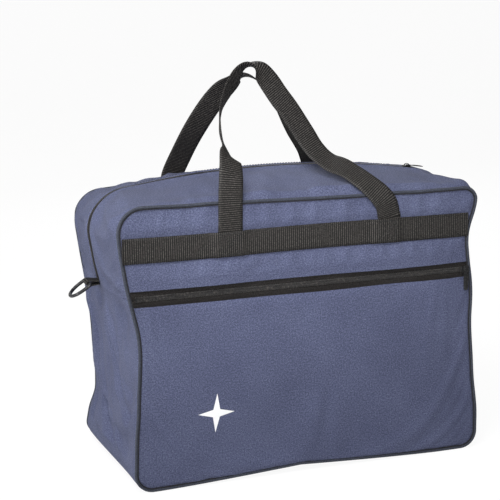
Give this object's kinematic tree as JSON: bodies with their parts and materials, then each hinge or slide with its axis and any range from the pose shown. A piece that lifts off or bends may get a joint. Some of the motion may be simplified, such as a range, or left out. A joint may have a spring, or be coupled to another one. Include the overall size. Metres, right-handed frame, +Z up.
{
  "type": "flight bag",
  "caption": "Soft box-shaped cabin bag with a zipped top mouth, zipped front pocket, webbing band and twin carry handles, side rings and a rear luggage sleeve.",
  "frame": {"origin": "centre of the flat base, on the surface the bag stands on", "axes": "+Z up, -Y out of the front pocket, +X along the bag's width to the right as seen from the front"},
  "size_m": [0.4672, 0.2145, 0.4357],
  "materials": {
    "navy_fabric": "heathered navy polyester, plain weave",
    "lining_fabric": "thin grey lining",
    "piping": "dark navy corded piping",
    "seam_binding": "black binding tape",
    "webbing": "ribbed brown-black webbing",
    "zip_tape": "black woven zip tape",
    "zip_coil": "black nylon coil",
    "slider_metal": "black enamelled zinc",
    "ring_metal": "black enamelled steel wire",
    "print": "matt white print"
  },
  "bodies": {
    "root": {"band_front": "webbing", "band_rear": "webbing", "base_gusset": "navy_fabric", "front_pocket_panel": "navy_fabric", "front_upper_panel": "navy_fabric", "handle_end_front_left": "webbing", "handle_end_front_right": "webbing", "handle_end_rear_left": "webbing", "handle_end_rear_right": "webbing", "luggage_sleeve": "navy_fabric", "main_zip_coil_left": "zip_coil", "main_zip_coil_right": "zip_coil", "main_zip_stop_left": "slider_metal", "main_zip_stop_right": "slider_metal", "main_zip_tape_left": "zip_tape", "main_zip_tape_right": "zip_tape", "piping_front": "piping", "piping_rear": "piping", "pocket_liner": "lining_fabric", "pocket_zip_coil_lower": "zip_coil", "pocket_zip_coil_upper": "zip_coil", "pocket_zip_stop_left": "slider_metal", "pocket_zip_stop_right": "slider_metal", "pocket_zip_tape_lower": "zip_tape", "pocket_zip_tape_upper": "zip_tape", "printed_mark": "print", "rear_panel": "navy_fabric", "ring_tab_left": "webbing", "ring_tab_right": "webbing", "seam_binding_front": "seam_binding", "seam_binding_rear": "seam_binding", "side_gusset_left": "navy_fabric", "side_gusset_right": "navy_fabric", "upper_gusset_front": "navy_fabric", "upper_gusset_rear": "navy_fabric"},
    "top_front": {"top_flap_front": "navy_fabric", "main_zip_tape_front": "zip_tape", "main_zip_coil_front": "zip_coil"},
    "top_rear": {"top_flap_rear": "navy_fabric", "main_zip_tape_rear": "zip_tape", "main_zip_coil_rear": "zip_coil"},
    "main_slider": {"main_slider": "slider_metal"},
    "main_pull": {"main_pull": "slider_metal"},
    "pocket_slider": {"pocket_slider": "slider_metal"},
    "pocket_pull": {"pocket_pull": "slider_metal"},
    "handle_front": {"handle_front": "webbing"},
    "handle_rear": {"handle_rear": "webbing"},
    "ring_left": {"d_ring_left": "ring_metal"},
    "ring_right": {"d_ring_right": "ring_metal"}
  },
  "joints": [
    {"name": "top_flap_front", "type": "hinge", "parent": "root", "child": "top_front", "pos_m": [0, -0.0872, 0.30007], "axis": [-1, 0, 0], "range_deg": [0, 80]},
    {"name": "top_flap_rear", "type": "hinge", "parent": "root", "child": "top_rear", "pos_m": [0, 0.0872, 0.30007], "axis": [1, 0, 0], "range_deg": [0, 80]},
    {"name": "main_slider_run", "type": "hinge", "parent": "root", "child": "main_slider", "pos_m": [0, 0, -0.751], "axis": [0, 1, 0], "range_deg": [-17.25, 0]},
    {"name": "main_pull_flip", "type": "hinge", "parent": "main_slider", "child": "main_pull", "pos_m": [0.16086, 0, 0.30927], "axis": [0, -1, 0], "range_deg": [0, 170]},
    {"name": "pocket_slider_run", "type": "slide", "parent": "root", "child": "pocket_slider", "axis": [-1, 0, 0], "range_m": [0, 0.368]},
    {"name": "pocket_pull_swing", "type": "hinge", "parent": "pocket_slider", "child": "pocket_pull", "pos_m": [0.184, -0.1009, 0.205], "axis": [0, -1, 0], "range_deg": [-80, 80]},
    {"name": "handle_front_fold", "type": "hinge", "parent": "root", "child": "handle_front", "pos_m": [0, -0.101, 0.2715], "axis": [1, 0, 0], "range_deg": [0, 142]},
    {"name": "handle_rear_fold", "type": "hinge", "parent": "root", "child": "handle_rear", "pos_m": [0, 0.101, 0.2715], "axis": [-1, 0, 0], "range_deg": [0, 142]},
    {"name": "ring_left_swing", "type": "hinge", "parent": "root", "child": "ring_left", "pos_m": [-0.2125, 0, 0.206], "axis": [0, 1, 0], "range_deg": [-50, 115]},
    {"name": "ring_right_swing", "type": "hinge", "parent": "root", "child": "ring_right", "pos_m": [0.2125, 0, 0.206], "axis": [0, -1, 0], "range_deg": [-50, 115]}
  ]
}
